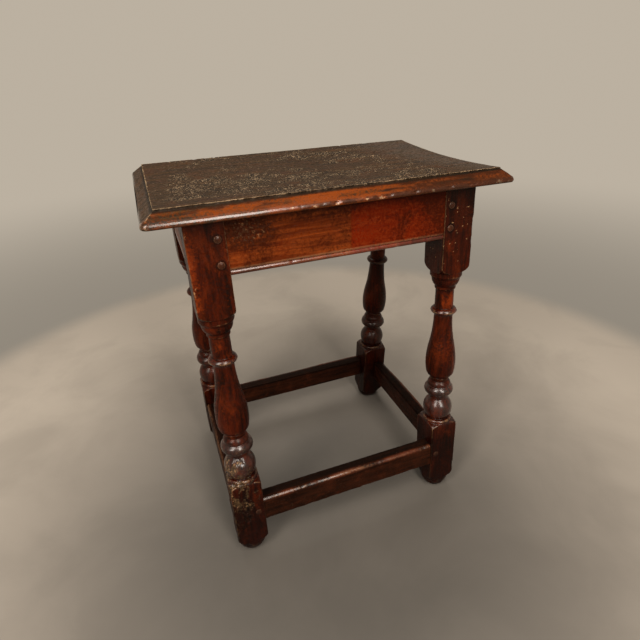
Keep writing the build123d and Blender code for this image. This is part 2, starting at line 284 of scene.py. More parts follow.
# %% Sizes and placing
BOARD_LOW, BOARD_HIGH = (np.array(corner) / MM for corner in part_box("top_board"))
UNDER_BOARD = BOARD_LOW[2]
HEIGHT = BOARD_HIGH[2]
HALF_LENGTH, HALF_WIDTH = BOARD_HIGH[:2]
FRAME_LENGTH = 386.0
FRAME_WIDTH = 322.0
LEAN = np.radians(4.4)
LEG_SQUARE = 47.0
HALF_SQUARE = LEG_SQUARE / 2
LEG_RUN = UNDER_BOARD / np.cos(LEAN)
LEG_X = FRAME_LENGTH / 2 - HALF_SQUARE
FOOT_Y = FRAME_WIDTH / 2 - HALF_SQUARE / np.cos(LEAN)
RAIL_SPAN = FRAME_LENGTH - LEG_SQUARE * 2
PEG_RADIUS = 4.5
PEG_DROPS = (29.0, 60.0)
PEG_FROM_SHOULDER = 10.0
SIDES = {"left": -1, "right": 1}
FRAMES = {"front": -1, "rear": 1}


def stand(points, frame_side):
    """Lean the front frame's points back: y = -foot + y cos + z sin and z = z cos - y sin. The rear frame's
    y has its sign changed."""
    x, y, z = np.moveaxis(points, -1, 0)
    leaned_y = -FOOT_Y + y * np.cos(LEAN) + z * np.sin(LEAN)
    leaned_z = z * np.cos(LEAN) - y * np.sin(LEAN)
    return np.stack([x, -frame_side * leaned_y, leaned_z], axis=-1)


def level_ends(points, reach):
    """Shear the last stretch of a leaning piece by y tan(lean), so that it ends level at floor and board."""
    y, z = points[..., 1], points[..., 2]
    weight = 1 - ramp(0, reach, z) + ramp(LEG_RUN - reach, LEG_RUN, z)
    points = points.copy()
    points[..., 2] = z + y * np.tan(LEAN) * weight
    return points


def inner_face_y(z):
    """Distance from the stool's middle to a frame's inner face at height z."""
    return FRAME_WIDTH / 2 - z * np.tan(LEAN) - LEG_SQUARE / np.cos(LEAN)


print("under the board:", round(UNDER_BOARD, 1))
print("board's half size:", round(HALF_LENGTH, 1), round(HALF_WIDTH, 2))

# %% [markdown]
# ## Oak under old wax
# Masks choose between the wood's tones. Streaks run along the grain: noise that is stretched by a Mapping
# node. Pores are the same, finer and cut off to short dark lines. Relief and paint come from the mesh, and a
# fine grit frays their borders. The same masks drive roughness and bump, so that dirt is dull and rubbed wax
# shines. Where the gloss paint is high a clear coat lies on top, as polish does: it is smooth over the bumps,
# so its highlights stay clean. Small functions keep the node trees short.

# %% Node helpers
def add_node(tree, kind, sockets=None, **settings):
    """Shader node with its settings; a socket gets a link from an output, or a value."""
    made = tree.nodes.new("ShaderNode" + kind)
    for name, value in settings.items():
        setattr(made, name, value)
    for name, value in (sockets or {}).items():
        if isinstance(value, bpy.types.NodeSocket):
            tree.links.new(value, made.inputs[name])
        else:
            made.inputs[name].default_value = value
    return made


def calculate(tree, operation, *values):
    """Output of a Math node."""
    return add_node(tree, "Math", dict(enumerate(values)), operation=operation).outputs[0]


def multiply(tree, first, second):
    """Product of two values."""
    return calculate(tree, "MULTIPLY", first, second)


def largest(tree, first, *others):
    """The largest of some values."""
    for value in others:
        first = calculate(tree, "MAXIMUM", first, value)
    return first


def remap(tree, value, low, high, new_low=0.0, new_high=1.0):
    """Value moved from low-high to new_low-new_high by a smooth step, and held there."""
    sockets = {"Value": value, "From Min": low, "From Max": high, "To Min": new_low, "To Max": new_high}
    return add_node(tree, "MapRange", sockets, interpolation_type="SMOOTHSTEP").outputs[0]


def mix_colours(tree, factor, first, second):
    """First colour where the factor is 0, second where it is 1. A Mix node has its colours in sockets 6 and
    7, and gives the result in output 2."""
    return add_node(tree, "Mix", {0: factor, 6: first, 7: second}, data_type="RGBA").outputs[2]


def attribute(tree, name):
    """One of the attributes stored in the mesh."""
    return add_node(tree, "Attribute", attribute_name=name).outputs["Fac"]


def colour(red, green, blue):
    """RGBA of a linear colour."""
    return (red, green, blue, 1.0)


# %% Patterns
def scaled_place(tree, place, size_mm, offset=0.0):
    """Coordinates counted in features of the given size in mm on each axis, and moved by the offset."""
    scale = tuple(1 / (size * MM) for size in size_mm)
    sockets = {"Vector": place, "Scale": scale, "Location": (offset, offset, offset)}
    return add_node(tree, "Mapping", sockets).outputs[0]


def stretched_noise(tree, place, size_mm, detail, roughness, distortion, offset=0.0):
    """Noise with features of the given size in mm on each axis."""
    sockets = {"Vector": scaled_place(tree, place, size_mm, offset), "Scale": 1.0}
    sockets.update({"Detail": detail, "Roughness": roughness, "Distortion": distortion})
    return add_node(tree, "TexNoise", sockets).outputs["Fac"]


def islands(tree, place, size_mm):
    """Round islands, one in each cell: high at the cell's middle, and less in the cells whose random tone is
    low."""
    sockets = {"Vector": scaled_place(tree, place, size_mm), "Scale": 1.0, "Randomness": 1.0}
    cells = add_node(tree, "TexVoronoi", sockets).outputs
    tone = add_node(tree, "SeparateColor", {0: cells["Color"]}).outputs[0]
    near = remap(tree, cells["Distance"], 0.72, 0.38)
    return multiply(tree, near, remap(tree, tone, 0.25, 1.0, 0.1, 1.0))


def along_grain(axis, across, along):
    """Feature size on each axis: long on the grain's axis and short on the others."""
    return tuple(along if name == axis else across for name in "xyz")


# %% [markdown]
# Colour, roughness, polish and bumps all ask where the wax, the dirt, the painted shade, the bare wood and
# the painted glints are. The masks are worked out once for that, and each has a name.

# %% Masks of old oak
STREAK_MM = (5.0, 90.0)
PORE_MM = (0.9, 12.0)
GRIT_MM = (3.6, 3.6, 3.6)
ISLAND_MM = (2.6, 2.6, 3.0)
FRAY = 0.3


def oak_masks(tree, axis, patch_mm, patchy, island_mm):
    """Masks by name. Each paint and the relief have grit added, which frays them, and are cut off to 0 and 1
    by a smooth step."""
    place = add_node(tree, "TexCoord").outputs["Object"]
    pores = stretched_noise(tree, place, along_grain(axis, *PORE_MM), 3.0, 0.6, 0.2, 5.0)
    patches = stretched_noise(tree, place, patch_mm, 4.0, 0.6, 0.8, 9.0)
    grit = stretched_noise(tree, place, GRIT_MM, 3.0, 0.7, 0.3, 3.0)
    fray = remap(tree, grit, 0.3, 0.7, -FRAY, FRAY)
    frayed = {paint: calculate(tree, "ADD", attribute(tree, paint), fray) for paint in ("relief", *PAINTS)}
    island = islands(tree, place, island_mm)
    crusted = remap(tree, frayed["crust"], 0.25, 0.75)
    gaps = multiply(tree, crusted, calculate(tree, "SUBTRACT", 1.0, island))
    lines = remap(tree, pores, 0.58, 0.70)
    patched = remap(tree, patches, 0.45, 0.75, 0.0, patchy)
    edge = remap(tree, frayed["relief"], 0.8, 1.45)
    hollow = remap(tree, frayed["relief"], -0.25, -0.85)
    dirt_and_shade_mask = remap(tree, frayed["dirt_and_shade"], 0.1, 1.1)
    bare_and_glints = remap(tree, frayed["bare_and_glints"], 0.45, 0.75)
    # The bare mask holds rubbed edges and bare wood. It also holds glints painted pale: the specks, and in
    # part the tops of the crust's islands.
    return {
        "streaks": stretched_noise(tree, place, along_grain(axis, *STREAK_MM), 6.0, 0.62, 0.6),
        "lines": lines,
        "grit": grit,
        "island": island,
        "crusted": crusted,
        "gloss": frayed["gloss"],
        "clear": largest(tree, patched, remap(tree, frayed["warm"], 0.0, 1.0)),
        "bare_and_glints": largest(tree, multiply(tree, edge, 0.5), multiply(tree, crusted, island), bare_and_glints),
        "grime_and_shade": largest(tree, hollow, dirt_and_shade_mask, gaps, multiply(tree, lines, 0.5)),
    }


# %% Colour, polish and bumps of old oak
# The grime tone darkens real grime and the painted shade alike.
GRIME_AND_SHADE_TONE = 0.2
DULL, GLOSSY = 0.70, 0.26
GRIME_DULLS = 0.08
POLISH_FROM_TO = (0.76, 1.0)
POLISH_ROUGHNESS = 0.25
POLISH_UNDER_GRIME = 0.7
VARNISH_TINT = (1.0, 0.84, 0.70)
BUMP_STRENGTH = 0.55
BUMP_DEPTH = 0.0006


def oak_colour(tree, masks, tones):
    """Deep to body by the streaks, then warm where clear, worn where bare and on painted glints, and a fifth
    of deep in grime and painted shade.
    """
    deep, body, warm, worn = (colour(*tone) for tone in tones)
    dark = colour(*(channel * GRIME_AND_SHADE_TONE for channel in tones[0]))
    base = mix_colours(tree, remap(tree, masks["streaks"], 0.36, 0.66), deep, body)
    base = mix_colours(tree, masks["clear"], base, warm)
    base = mix_colours(tree, multiply(tree, masks["bare_and_glints"], 0.6), base, worn)
    return mix_colours(tree, multiply(tree, masks["grime_and_shade"], 0.8), base, dark)


def oak_polish(tree, masks):
    """Weight of the clear coat: it starts high in the gloss paint, and is thinner over grime and painted
    shade.
    """
    over_grime = remap(tree, masks["grime_and_shade"], 0.5, 1.0, 1.0, POLISH_UNDER_GRIME)
    return multiply(tree, remap(tree, attribute(tree, "gloss"), *POLISH_FROM_TO), over_grime)


def oak_bump(tree, masks):
    """Normal from streaks less pores, plus grit and islands, which are strongest where the wax is crusted."""
    height = multiply(tree, masks["streaks"], 0.4)
    height = calculate(tree, "SUBTRACT", height, multiply(tree, masks["lines"], 0.25))
    uneven = remap(tree, masks["crusted"], 0.0, 1.0, 0.14, 2.6)
    bumps = calculate(tree, "ADD", masks["grit"], multiply(tree, masks["island"], 0.5))
    height = calculate(tree, "ADD", height, multiply(tree, bumps, uneven))
    sockets = {"Height": height, "Strength": BUMP_STRENGTH, "Distance": BUMP_DEPTH}
    return add_node(tree, "Bump", sockets).outputs[0]


def make_oak(name, axis, tones, patch_mm, specular, patchy=0.4, island_mm=ISLAND_MM):
    """Waxed oak in four tones. Roughness falls from dull to glossy as the gloss paint rises, and grime adds
    a little to it."""
    material = bpy.data.materials.new(name)
    material.use_nodes = True
    tree = material.node_tree
    inputs = tree.nodes["Principled BSDF"].inputs
    masks = oak_masks(tree, axis, patch_mm, patchy, island_mm)
    tree.links.new(oak_colour(tree, masks, tones), inputs["Base Color"])
    rough = remap(tree, masks["gloss"], 0.0, 1.0, DULL, GLOSSY)
    rough = calculate(tree, "ADD", rough, multiply(tree, masks["grime_and_shade"], GRIME_DULLS))
    tree.links.new(rough, inputs["Roughness"])
    tree.links.new(oak_bump(tree, masks), inputs["Normal"])
    tree.links.new(oak_polish(tree, masks), inputs["Coat Weight"])
    inputs["Coat Roughness"].default_value = POLISH_ROUGHNESS
    inputs["Specular IOR Level"].default_value = specular
    inputs["Specular Tint"].default_value = colour(*VARNISH_TINT)
    return material


# %% [markdown]
# One recipe makes every finish. What differs is the run of the grain, the four tones (deep, body, warm and
# worn, as linear colours), the size of the patches and the light that the wax throws back.

# %% Oak of each piece
LEG_TONES = ((0.006, 0.0010, 0.0004), (0.034, 0.0036, 0.0008), (0.16, 0.021, 0.0025), (0.34, 0.19, 0.085))
RAIL_TONES = ((0.08, 0.012, 0.0018), (0.18, 0.033, 0.0048), (0.12, 0.008, 0.0005), (0.34, 0.18, 0.08))
BAR_TONES = ((0.006, 0.0020, 0.0010), (0.022, 0.006, 0.0024), (0.065, 0.014, 0.005), (0.24, 0.11, 0.05))
BOARD_TONES = ((0.010, 0.005, 0.0016), (0.036, 0.016, 0.0035), (0.15, 0.028, 0.0024), (0.52, 0.35, 0.20))
PEG_TONES = ((0.02, 0.005, 0.0015), (0.055, 0.013, 0.004), (0.09, 0.02, 0.006), (0.16, 0.08, 0.04))
LONG_PATCH = (22.0, 22.0, 60.0)
ROUND_PATCH = (30.0, 30.0, 30.0)
BOARD_ISLAND = (1.6, 2.6, 2.6)
LEG_OAK = make_oak("leg_oak", "z", LEG_TONES, LONG_PATCH, 0.12)
RAIL_OAK = make_oak("rail_oak", "x", RAIL_TONES, ROUND_PATCH, 0.08, patchy=0.1)
END_RAIL_OAK = make_oak("end_rail_oak", "y", RAIL_TONES, ROUND_PATCH, 0.08, patchy=0.1)
STRETCHER_OAK = make_oak("stretcher_oak", "x", BAR_TONES, ROUND_PATCH, 0.06)
END_STRETCHER_OAK = make_oak("end_stretcher_oak", "y", BAR_TONES, ROUND_PATCH, 0.06)
BOARD_OAK = make_oak("board_oak", "x", BOARD_TONES, ROUND_PATCH, 0.12, 0.12, BOARD_ISLAND)
PEG_OAK = make_oak("peg_oak", "z", PEG_TONES, ROUND_PATCH, 0.2)
print("finishes:", len([material for material in bpy.data.materials if "oak" in material.name]))

# %% [markdown]
# ## Legs
# A leg starts as a square billet. The lathe takes the middle down to a turned outline and leaves the two
# blocks square. As a formula, the radius at each angle is the smaller of two: the square's, and the turning's
# at that height. The square is a p-norm, whose power sets how crisp its corners are, so one random power per
# place makes corners that are worn here and sharp there.

# %% Turned outline
FOOT_RADIUS = 13.0
FOOT_HEIGHT = 33.0
LOWER_BLOCK_HEIGHT = 100.0
UPPER_BLOCK_HEIGHT = 115.5
BOWL_HEIGHT = 40.5
NECK_HEIGHT = 41.0
BLOCK_TOP = FOOT_HEIGHT + LOWER_BLOCK_HEIGHT
UPPER_BLOCK = LEG_RUN - UPPER_BLOCK_HEIGHT
NECK_TOP = UPPER_BLOCK - BOWL_HEIGHT
RING_LOW = NECK_TOP - NECK_HEIGHT
CORNER = HALF_SQUARE * 2**0.5
ROW_STEP = 0.8
BLOCK_STEP = 1.7
# Each part of the turning has the height it is counted from, and the (radius, height, bow) where each of its
# arcs ends. A bow of 0 is a straight line. "To" and "from" are arcs that are upright where they end or start.
TURNING = {
    "foot and block": (0, [(24.0, 21.0, "to"), (CORNER, FOOT_HEIGHT, 2.0), (CORNER, BLOCK_TOP, 0)]),
    "pommel and collar": (BLOCK_TOP, [(23.2, 7.5, 1.8), (21.3, 13.0, 1.2), (17.5, 13.0, 0)]),
    "ball and waist": (BLOCK_TOP, [(23.4, 30.5, "to"), (14.0, 49.5, "from"), (14.0, 58.0, 0)]),
    "bobbin": (BLOCK_TOP, [(23.4, 66.5, "to"), (18.7, 74.5, "from"), (18.2, 75.0, 0)]),
    "hollow": (BLOCK_TOP, [(14.2, 84.5, 1.6), (14.2, 87.5, 0)]),
    "cushion": (BLOCK_TOP, [(14.2, 91.5, 1.2), (21.6, 99.5, 1.3)]),
    "vase": (BLOCK_TOP, [(23.4, 118.5, "to"), (19.9, 148.5, "from")]),
    "vase's neck and ring": (RING_LOW, [(14.0, 0, "to"), (19.8, 4.75, 1.3), (14.0, 9.5, 1.3)]),
    "neck and fillet": (NECK_TOP, [(13.5, -1.0, 0), (15.4, 0, 0), (15.4, 4.5, 0)]),
    "bowl and band": (NECK_TOP, [(20.6, 16.5, "to"), (23.2, 21.0, 0), (23.2, 28.0, 0)]),
    "pommel and upper block": (0, [(CORNER, UPPER_BLOCK, 2.5), (CORNER, LEG_RUN, 0)]),
}


def bow_between(start, end, bow, count=24):
    """Points of a circular arc: chord points moved out by the arc's height over its chord."""
    start, end = np.array(start), np.array(end)
    part = np.linspace(0, 1, count + 1)[1:, None]
    chord = end - start
    if not bow:
        return start + chord * part
    span = np.hypot(*chord)
    outward = np.array([chord[1], -chord[0]]) / span
    radius = (span**2 / 4 + bow**2) / (2 * abs(bow))
    along = (part - 0.5) * span
    rise = np.sqrt(np.maximum(radius**2 - along**2, 0)) - (radius - abs(bow))
    return start + chord * part + np.sign(bow) * rise * outward


def upright_bow(start, end):
    """Height of an arc that is upright at one end: half the chord times tan of half the chord's lean."""
    across, up = end[0] - start[0], end[1] - start[1]
    return np.hypot(across, up) / 2 * np.tan(np.arctan2(across, up) / 2)


def turned_outline():
    """Outline from floor to board as (radius, height) points. The blocks keep the corner's radius."""
    outline = [np.array([[FOOT_RADIUS, 0.0]])]
    for base, arcs in TURNING.values():
        for radius, height, bow in arcs:
            start, end = outline[-1][-1], (radius, base + height)
            if bow in ("to", "from"):
                bow = upright_bow(start, end) * (1 if bow == "to" else -1)
            outline.append(bow_between(start, end, bow))
    return np.concatenate(outline)


def spaced_rows(outline):
    """Rows at even steps along the outline, with longer steps on the square blocks."""
    length = np.hypot(*np.diff(outline, axis=0).T)
    on_block = np.minimum(outline[1:, 0], outline[:-1, 0]) > CORNER - 0.01
    travel = np.concatenate([[0], np.cumsum(length / np.where(on_block, BLOCK_STEP, ROW_STEP))])
    stops = np.linspace(0, travel[-1], int(travel[-1]))
    return np.stack([np.interp(stops, travel, outline[:, axis]) for axis in range(2)], axis=1)


ROWS = spaced_rows(turned_outline())
widest = ROWS[ROWS[:, 0] < CORNER - 0.1, 0].max()
print("rows on a leg:", len(ROWS), "widest turning:", round(widest, 1))

# %% [markdown]
# The columns sit closer together near the four corners, because a worn corner has the tightest curve. Wear is
# then added along the normals: slow waves left by hand work, dents, small pits, and bites out of the feet.

# %% Leg surface
LEG_COLUMNS = 120
CORNER_CROWD = 0.16
CHIP_RADIUS = 50
CRISP_POWER = 44
ROUNDEST_POWER = 5.0
PLANED_OFF = 0.2
OVAL = 0.006
SOFT_MM = 0.25
POLISHED_LOW, POLISHED_HIGH = 138, 222


def leg_surface(seed):
    """Leg in its own upright axes: radius is the softened minimum of p-norm square and turning. Chips are
    read from noise on a wide cylinder, so that one chip takes both sides of a corner."""
    turn = np.linspace(0, 2 * np.pi, LEG_COLUMNS, endpoint=False)
    angle = turn + CORNER_CROWD * np.sin(4 * turn)
    cos, sin = np.cos(angle), np.sin(angle)
    height = ROWS[:, 1][:, None] + 0 * angle
    away = np.stack(np.broadcast_arrays(CHIP_RADIUS * cos, CHIP_RADIUS * sin, height), axis=-1)
    chip = ramp(0.55, 1.1, noise(away, (9.0, 9.0, 16.0), seed + 40, 3))
    power = CRISP_POWER * 2.0 ** (0.8 * noise(away, 40.0, seed) - 1.7 * chip)
    foot = 1 - ramp(0, 45, height)
    power = np.maximum(power * (1 - 0.6 * foot), ROUNDEST_POWER)
    square = (HALF_SQUARE - PLANED_OFF) * (np.abs(cos) ** power + np.abs(sin) ** power) ** (-1 / power)
    turned = ROWS[:, 0][:, None] * (1 - OVAL * (1 + np.cos(2 * angle + seed)))
    wander = 0.15 * noise(np.stack([0 * height, 0 * height + seed, height], axis=-1), 24.0, seed + 3)
    turned = turned + wander * ramp(FOOT_HEIGHT, FOOT_HEIGHT + 20, height)
    radius = -SOFT_MM * np.logaddexp(-square / SOFT_MM, -turned / SOFT_MM)
    return np.stack([radius * cos, radius * sin, height], axis=-1)


def leg_wear(points, seed, eaten):
    """Height left by wear at each point: waves, dents and pits, more at the foot, few on ball and bobbin."""
    height = points[..., 2]
    foot = 1 - ramp(2, 38, height)
    polished = ramp(POLISHED_LOW - 4, POLISHED_LOW + 4, height)
    kept = 1 - 0.85 * polished * (1 - ramp(POLISHED_HIGH - 4, POLISHED_HIGH + 4, height))
    waves = 0.08 * noise(points, (24.0, 24.0, 60.0), seed + 5)
    dents = 0.35 * kept * ramp(0.55, 1.1, noise(points, (5.0, 5.0, 9.0), seed + 9))
    pits = 0.45 * kept * ramp(0.62, 1.0, noise(points, 2.4, seed + 11)) * (0.4 + 1.2 * foot)
    bites = foot * 1.6 * ramp(0.0, 0.9, noise(points, (7.0, 7.0, 13.0), seed + 21, 3))
    return waves - dents - pits - bites - eaten


def eaten_side(points, side, frame_side):
    """Softened, crumbled wood on the outer corner of the front left leg, from its foot to its ball."""
    if (side, frame_side) != (-1, -1):
        return np.zeros(points.shape[:-1])
    x, y, z = np.moveaxis(points, -1, 0)
    facing = ramp(-0.3, 0.85, (-0.8 * x - 0.6 * y) / np.maximum(np.hypot(x, y), 1.0))
    reach = ramp(18, 60, z) * (1 - ramp(150, 205, z))
    crumble = ramp(-0.35, 0.9, noise(points, (6.0, 6.0, 12.0), 77, 3))
    return 2.6 * facing * reach * crumble


# %% [markdown]
# Last comes the paint, which says where dirt, painted shade, painted glints, warmth and gloss lie. Heights
# are counted up the leg, so each turning can have a finish of its own.

# %% Leg paint
# Middle height and reach of the turnings that have a finish of their own.
COLLAR, BALL, BOBBIN = (141, 5), (165, 18), (200, 13)
VASE, RING, NECK = (285, 42), (340, 6), (361, 16)
CRUMBLED_BALL = (156, 9)
PEG_OFFSET = HALF_SQUARE - PEG_FROM_SHOULDER
REAR_SHINE = 0.45


def swell(value, middle, reach):
    """1 at the middle and fading to 0 at about the reach: exp(-(value - middle)^2 / reach^2)."""
    return np.exp(-(((value - middle) / reach) ** 2))


def peg_rings(points, side):
    """Dirt round the four peg heads of a leg: a swell just outside the peg's radius."""
    rings = 0
    for drop in PEG_DROPS:
        for spot in ((-PEG_OFFSET * side, -HALF_SQUARE), (HALF_SQUARE * side, PEG_OFFSET)):
            away = points - [*spot, LEG_RUN - drop]
            rings = rings + swell(np.linalg.norm(away, axis=-1), PEG_RADIUS + 0.6, 1.5)
    return rings


def paint_leg(points, side, frame_side, eaten):
    """Darker from the floor up to the collar, painted shade just under the board, on the right legs' upper
    blocks and on the outer face of the left legs' upper blocks, a warm neck and vase, glossy rings and balls,
    and specks on the right legs' upper blocks painted pale as glints. The front left leg is worn to bare wood
    along its outer corner."""
    number = 60 + 3 * side + frame_side
    x, y, z = np.moveaxis(points, -1, 0)
    cloud = ramp(-0.2, 0.8, noise(points, (16.0, 16.0, 40.0), number, 3))
    block = ramp(UPPER_BLOCK - 4, UPPER_BLOCK + 4, z)
    cleaner = 0.3 + 0.7 * ramp(84, 104, z)
    warm = 0.75 * swell(z, *NECK) * cloud + 0.3 * swell(z, *VASE) * cloud
    warm = warm + 0.3 * block * ramp(0.1, 0.9, cloud)
    turned = swell(z, *BOBBIN) + swell(z, *BALL)
    shine = 1.0 if frame_side < 0 else REAR_SHINE
    gloss = 0.76 + shine * (0.24 * (0.85 * swell(z, *RING) + turned) + 0.1 * swell(z, *COLLAR))
    # Pale specks painted as glints on the right legs' upper blocks.
    painted_glints = block * ramp(0.6, 0.84, noise(points, (2.2, 2.2, 2.6), number + 9)) * 0.5 * (1 + side)
    bare_and_glints = painted_glints + 0.8 * ramp(0.5, 1.2, eaten) * cleaner
    if (side, frame_side) == (-1, -1):
        corner = swell(np.hypot(x + HALF_SQUARE, y + HALF_SQUARE), 0, 6) * block
        crumbs = ramp(-0.2, 0.9, noise(points, (3.0, 3.0, 5.0), 81, 3))
        warm = warm + 0.5 * corner
        bare_and_glints = bare_and_glints + 0.75 * corner * crumbs
        eaten = eaten + 0.6 * swell(z, *CRUMBLED_BALL) * crumbs
    crust = 0.12 * block * cloud + 0.9 * np.clip(eaten, 0, 1) * cleaner
    # Painted shade on the right legs' upper blocks, and on the outer face of the left legs' upper blocks.
    shaded = 0.4 * block * (side > 0)
    shaded = shaded + 0.4 * block * (side < 0) * ramp(-HALF_SQUARE + 2, -HALF_SQUARE, x)
    # Darker from the floor up to the collar, and painted shade just under the board.
    dirt_and_shade = 0.9 * (1 - ramp(90, 150, z)) + 0.45 * ramp(LEG_RUN - 22, LEG_RUN - 2, z)
    dirt_and_shade = dirt_and_shade + 0.35 * cloud * (1 - 0.6 * warm) + 0.35 * turned + shaded
    dirt_and_shade = dirt_and_shade * (1 - bare_and_glints) + peg_rings(points, side)
    return {"dirt_and_shade": dirt_and_shade, "warm": warm, "gloss": gloss, "crust": crust, "bare_and_glints": bare_and_glints}


def make_leg(node, side, frame_side, seed):
    """One leg: surface, wear along the normals, level ends, then leaned into its frame."""
    local = leg_surface(seed)
    eaten = eaten_side(local, side, frame_side)
    local = local + tube_normals(local) * leg_wear(local, seed, eaten)[..., None]
    paint = paint_leg(local, side, frame_side, eaten)
    placed = stand(level_ends(local, 16.0) + [side * LEG_X, 0, 0], frame_side)
    placed[..., 2] = np.clip(placed[..., 2], 0, UNDER_BOARD)
    placed[0, :, 2] = 0
    placed[-1, :, 2] = UNDER_BOARD
    finish_tube(node, placed, "leg_oak", LEG_OAK, paint)


for frame_name, frame_side in FRAMES.items():
    for side_name, side in SIDES.items():
        make_leg(f"{frame_name}_{side_name}_leg", side, frame_side, 100 + 20 * frame_side + 7 * side)

# %% [markdown]
# ## Rails and stretchers
# Each is a section carried along a straight line, so it is a tube too. The frieze rail's section ends in a
# round bead under a fine groove, called a quirk. A stretcher is a plain bar whose upper outer edge is worn
# round by centuries of heels. The end pieces stop on the leaning inner faces of the legs, so their length
# depends on height.

# %% Sections
RAIL_HEIGHT = 75.0
RAIL_THICKNESS = 22.0
BEAD_RADIUS = 3.5
QUIRK_DEPTH = 1.6
STRETCHER_HEIGHT = 41.0
STRETCHER_THICKNESS = 21.0
STRETCHER_RADII = (1.4, 4.0, 1.5, 1.2)


def eased(corners, radii, step):
    """Closed outline through the corners, each rounded by an arc, with points at about one step."""
    corners = np.array(corners, float)
    outline = []
    for index, corner in enumerate(corners):
        radius = radii[index]
        back = corners[index - 1] - corner
        ahead = corners[(index + 1) % len(corners)] - corner
        back /= np.hypot(*back)
        ahead /= np.hypot(*ahead)
        half = np.arccos(np.clip(back @ ahead, -1, 1)) / 2
        middle = corner + (back + ahead) / np.hypot(*(back + ahead)) * radius / np.sin(half)
        first = corner + back * radius / np.tan(half)
        last = corner + ahead * radius / np.tan(half)
        part = np.linspace(0, 1, 6)[:, None]
        spoke = (first - middle) * (1 - part) + (last - middle) * part
        outline.append(middle + radius * spoke / np.hypot(spoke[:, 0], spoke[:, 1])[:, None])
    outline = np.concatenate(outline)
    filled = []
    for start, end in zip(outline, np.roll(outline, -1, axis=0)):
        count = max(int(np.hypot(*(end - start)) / step), 1)
        filled.append(start + (end - start) * np.linspace(0, 1, count, endpoint=False)[:, None])
    return np.concatenate(filled)


def rail_section():
    """Frieze rail as (depth behind its face, height over its foot): bead, quirk, face, top, back, foot."""
    turn = np.linspace(-np.pi / 2, np.pi / 2 + 0.85, 16)
    bead_depth = BEAD_RADIUS - BEAD_RADIUS * np.cos(turn)
    bead = np.stack([bead_depth, BEAD_RADIUS + BEAD_RADIUS * np.sin(turn)], axis=1)
    quirk = [QUIRK_DEPTH + 0.2, bead[-1, 1] + 0.2]
    face = np.stack([np.zeros(48), np.linspace(bead[-1, 1] + 1.8, RAIL_HEIGHT, 48)], axis=1)
    top = np.stack([np.linspace(0, RAIL_THICKNESS, 8)[1:], np.full(7, RAIL_HEIGHT)], axis=1)
    back = np.stack([np.full(24, RAIL_THICKNESS), np.linspace(RAIL_HEIGHT, 0, 26)[1:-1]], axis=1)
    foot = np.stack([np.linspace(RAIL_THICKNESS, BEAD_RADIUS, 9)[:-1], np.zeros(8)], axis=1)
    return np.concatenate([bead, [quirk], face, top, back, foot])


def stretcher_section():
    """Stretcher as (depth behind its face, height over its foot), upper outer edge worn round."""
    depth, up = STRETCHER_THICKNESS, STRETCHER_HEIGHT
    return eased([(0, 0), (0, up), (depth, up), (depth, 0)], STRETCHER_RADII, 1.5)


print("points round a rail:", len(rail_section()), "and a stretcher:", len(stretcher_section()))

# %% [markdown]
# A section is carried along in its own axes first: t along the piece, depth behind its face, and height over
# its foot. Only then is it placed in a leaning frame or between the two frames. Its ends bite a little into
# the legs, so that no gap shows.

# %% Carrying a section along
BITE = 1.2


def sweep(section, count):
    """Grid of (t, depth, up): a row for each station t from -1 to 1, and the section in each row."""
    stations = np.linspace(-1, 1, count)[:, None]
    depth, up = section.T
    return np.stack(np.broadcast_arrays(stations, depth, up), axis=-1)


def in_long_frame(swept, inset, rise):
    """Front frame's axes for a swept piece whose face is inset behind the legs' faces."""
    t, depth, up = np.moveaxis(swept, -1, 0)
    return np.stack([t * (RAIL_SPAN / 2 + BITE), inset - HALF_SQUARE + depth, rise + up], axis=-1)


def between_frames(swept, side, inset, low):
    """Place of an end piece: x from its outer face, y out to the legs' leaning inner faces, z upright."""
    t, depth, up = np.moveaxis(swept, -1, 0)
    z = low + up
    return np.stack([side * (FRAME_LENGTH / 2 - inset - depth), t * (inner_face_y(z) + BITE), z], axis=-1)


def wear_bar(points, seed, amount):
    """Waves, dents and pits along the normals of a swept piece, turned to point outwards."""
    normals = tube_normals(points)
    centre = points.mean(axis=1, keepdims=True)
    normals *= np.sign(((points - centre) * normals).sum())
    waves = 0.16 * noise(points, 38.0, seed)
    dents = 0.45 * ramp(0.5, 1.0, noise(points, 7.0, seed + 5))
    pits = 0.4 * ramp(0.6, 1.0, noise(points, 2.6, seed + 9))
    return points + normals * ((waves - dents - pits) * amount)[..., None]


# %% [markdown]
# The front rail has marks of its own: a dark patch at its left end with pale specks painted as glints, two
# bright places, and red wax that starts right of the middle and gets darker. Every rail is painted dark
# under the board as shade.

# %% Frieze rails
RAIL_INSET = 1.5
RAIL_ROWS = 196
RAIL_WEAR = 0.7
FRONT_LIMIT = -100
DARK_PATCH = ((-122, 28), (512, 17))
BRIGHT_PLACES = ((45, 50), (-65, 35))
RED_START = (8, 11)
DARKER_FROM_TO = (50, 145)


